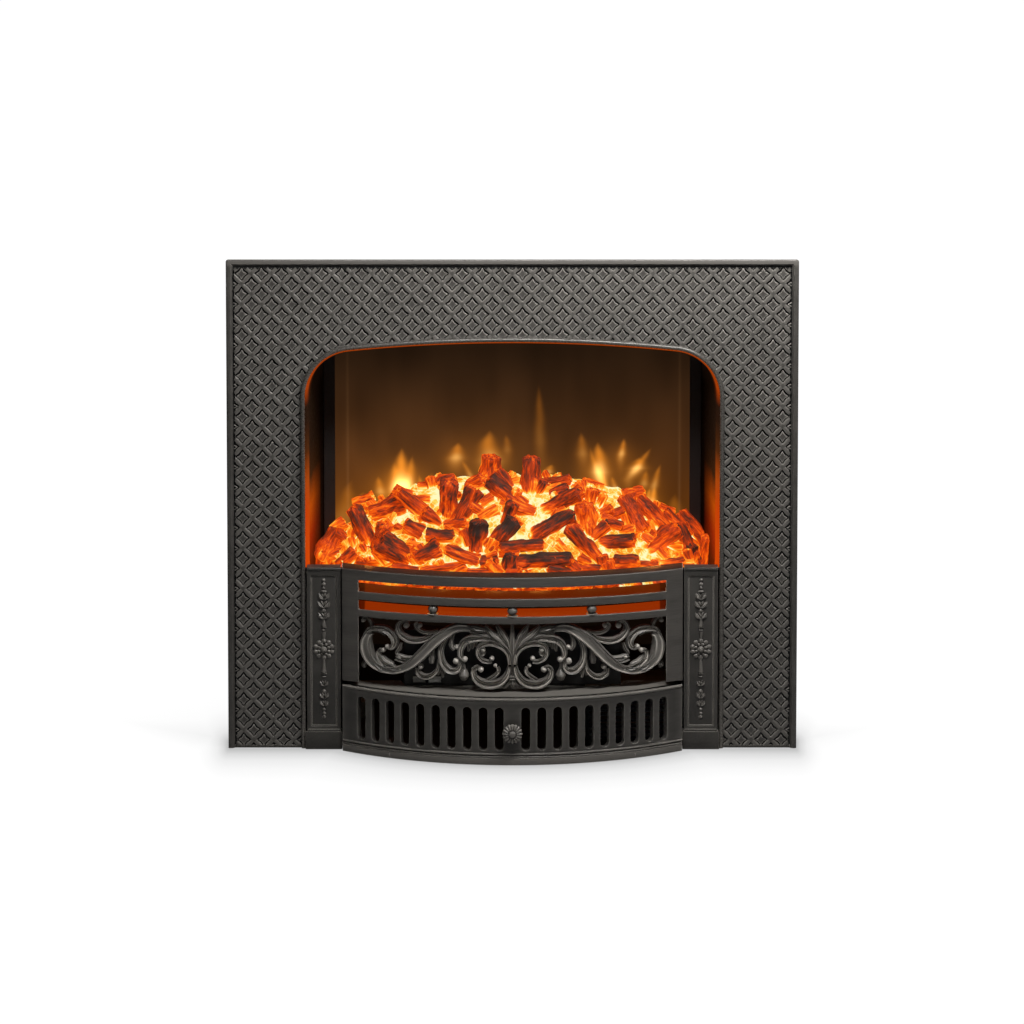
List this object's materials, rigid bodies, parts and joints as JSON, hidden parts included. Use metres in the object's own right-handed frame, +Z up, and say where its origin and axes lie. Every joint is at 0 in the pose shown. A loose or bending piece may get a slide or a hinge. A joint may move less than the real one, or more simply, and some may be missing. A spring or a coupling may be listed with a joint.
{
  "type": "electric fireplace insert",
  "caption": "Electric fireplace insert: lozenge-pattern arched surround, bowed pierced fret, slotted pull-off ash cover, ember bed and flame-effect screen.",
  "frame": {"origin": "on the floor, on the centre line, in the plane of the surround's back edge, under the base plate", "axes": "+X to the right seen from the front, +Y towards the back, +Z up; the front faces -Y"},
  "size_m": [0.62, 0.2545, 0.55],
  "materials": {
    "cast": "satin black cast effect",
    "cast_ornament": "satin black with brushed highlights",
    "reveal": "satin black",
    "dark_steel": "matt black",
    "zinc_steel": "zinc plated",
    "screen": "smoked translucent",
    "embers": "charred translucent resin",
    "tray": "bronze, lit orange",
    "led": "clear dome",
    "board": "solder mask",
    "foil": "bright foil",
    "bronze_bush": "plain",
    "motor": "satin",
    "element": "oxidised",
    "ceramic": "plain",
    "switch_plastic": "satin",
    "grommet": "matt",
    "terminal": "plain"
  },
  "bodies": {
    "insert": {"front_panel": "cast", "lattice_relief": "cast", "outer_rim": "cast", "arch_bead": "cast", "arch_reveal": "reveal", "pilaster_left": "cast", "pilaster_right": "cast", "garland_left": "cast_ornament", "garland_right": "cast_ornament", "fret_frame": "cast", "fret_scroll": "cast_ornament", "fret_balls": "cast_ornament", "bracket_screws": "zinc_steel", "rear_casing": "dark_steel", "top_cover": "dark_steel", "base_plate": "dark_steel", "casing_screws": "zinc_steel", "bracket_left": "dark_steel", "bracket_right": "dark_steel", "cheek_left": "dark_steel", "cheek_right": "dark_steel", "screen_post_left": "dark_steel", "screen_post_right": "dark_steel", "flame_screen": "screen", "flame_mask": "zinc_steel", "ember_tray": "tray", "ember_bed": "embers", "tray_supports": "zinc_steel", "led_board": "board", "led_domes": "led", "rotor_cradle": "zinc_steel", "rotor_bush": "bronze_bush", "rotor_motor": "motor", "flame_led_strip": "board", "heater_housing": "zinc_steel", "heater_grille": "dark_steel", "heating_element": "element", "blower_motor": "motor", "blower_bushes": "bronze_bush", "thermal_cutout": "ceramic", "control_panel": "dark_steel", "switch_housing": "switch_plastic", "circuit_board": "board", "terminal_block": "terminal", "cable_grommet": "grommet", "cover_runners": "zinc_steel"},
    "cover": {"ash_cover": "cast", "ash_knob": "cast_ornament", "knob_nut": "zinc_steel"},
    "light_rocker": {"rocker_light": "switch_plastic"},
    "heat_rocker": {"rocker_heat": "switch_plastic"},
    "flicker_rod": {"rotor_spindle": "zinc_steel", "rotor_foils": "foil"},
    "blower": {"blower_wheel": "foil"}
  },
  "joints": [
    {"name": "cover_slide", "type": "slide", "parent": "insert", "child": "cover", "axis": [0, -1, 0], "range_m": [0, 0.09]},
    {"name": "light_rocker_tilt", "type": "hinge", "parent": "insert", "child": "light_rocker", "pos_m": [-0.1015, -0.0214, 0.0815], "axis": [1, 0, 0], "range_deg": [0, 16]},
    {"name": "heat_rocker_tilt", "type": "hinge", "parent": "insert", "child": "heat_rocker", "pos_m": [-0.0845, -0.0214, 0.0815], "axis": [1, 0, 0], "range_deg": [0, 16]},
    {"name": "flicker_spin", "type": "hinge", "parent": "insert", "child": "flicker_rod", "pos_m": [0, 0.139, 0.15], "axis": [1, 0, 0], "continuous": true},
    {"name": "blower_spin", "type": "hinge", "parent": "insert", "child": "blower", "pos_m": [0.1255, 0.061, 0.0355], "axis": [1, 0, 0], "continuous": true}
  ]
}
